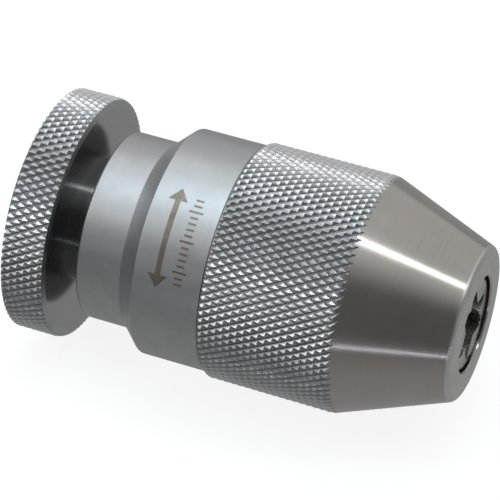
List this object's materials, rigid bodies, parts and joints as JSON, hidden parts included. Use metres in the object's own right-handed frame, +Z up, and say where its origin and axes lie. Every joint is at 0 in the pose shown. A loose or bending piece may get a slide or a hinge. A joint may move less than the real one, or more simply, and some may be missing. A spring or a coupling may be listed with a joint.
{
  "type": "drill chuck",
  "caption": "Keyless self-tightening drill chuck with knurled hood and holding ring, three sliding jaws for small round shanks and a Jacobs taper socket.",
  "frame": {"origin": "centre of the taper socket's mouth, on the rear face", "axes": "+X along the chuck's axis from the rear face to the nose, +Z up with the chuck lying on its side, +Y by the right-hand rule"},
  "size_m": [0.0659, 0.0362, 0.0362],
  "materials": {
    "satin_chrome": "satin",
    "hardened_steel": "ground",
    "jaw_steel": "ground",
    "bearing_steel": "polished",
    "bronze": "machined",
    "felt": "felt",
    "black_rubber": "matte"
  },
  "bodies": {
    "chuck_body": {"body": "hardened_steel", "body_plug": "hardened_steel", "body_ring": "satin_chrome", "front_race": "bearing_steel", "drag_ring": "black_rubber"},
    "sleeve_group": {"sleeve": "satin_chrome", "hood": "satin_chrome", "jaw_guide": "hardened_steel", "bearing_shim": "bearing_steel", "rear_race": "bearing_steel", "thrust_washer": "bronze", "felt_seal": "felt", "hood_seal": "black_rubber", "drive_pins": "hardened_steel"},
    "spindle": {"spindle": "hardened_steel"},
    "jaw_1": {"jaw_1": "jaw_steel"},
    "jaw_2": {"jaw_2": "jaw_steel"},
    "jaw_3": {"jaw_3": "jaw_steel"},
    "ball_cage": {"ball_cage": "bronze", "bearing_balls": "bearing_steel"}
  },
  "joints": [
    {"name": "sleeve_turn", "type": "hinge", "parent": "chuck_body", "child": "sleeve_group", "pos_m": [0.015, 0, 0], "axis": [-1, 0, 0], "range_deg": [-117, 1412]},
    {"name": "spindle_feed", "type": "slide", "parent": "sleeve_group", "child": "spindle", "axis": [1, 0, 0], "range_m": [-0.00082, 0.00981]},
    {"name": "jaw_1_slide", "type": "slide", "parent": "sleeve_group", "child": "jaw_1", "axis": [0.9563, -0.2031, -0.2103], "range_m": [-0.00086, 0.01026]},
    {"name": "jaw_2_slide", "type": "slide", "parent": "sleeve_group", "child": "jaw_2", "axis": [0.9563, 0.2837, -0.0707], "range_m": [-0.00086, 0.01026]},
    {"name": "jaw_3_slide", "type": "slide", "parent": "sleeve_group", "child": "jaw_3", "axis": [0.9563, -0.0806, 0.281], "range_m": [-0.00086, 0.01026]},
    {"name": "cage_turn", "type": "hinge", "parent": "chuck_body", "child": "ball_cage", "pos_m": [0.0217, 0, 0], "axis": [-1, 0, 0], "range_deg": [-60, 708]}
  ],
  "couplings": [
    {"joint": "spindle_feed", "follows": "sleeve_turn", "m_per_rad": 0.00039789},
    {"joint": "jaw_1_slide", "follows": "sleeve_turn", "m_per_rad": 0.00041607},
    {"joint": "jaw_2_slide", "follows": "sleeve_turn", "m_per_rad": 0.00041607},
    {"joint": "jaw_3_slide", "follows": "sleeve_turn", "m_per_rad": 0.00041607},
    {"joint": "cage_turn", "follows": "sleeve_turn", "ratio": 0.5}
  ]
}
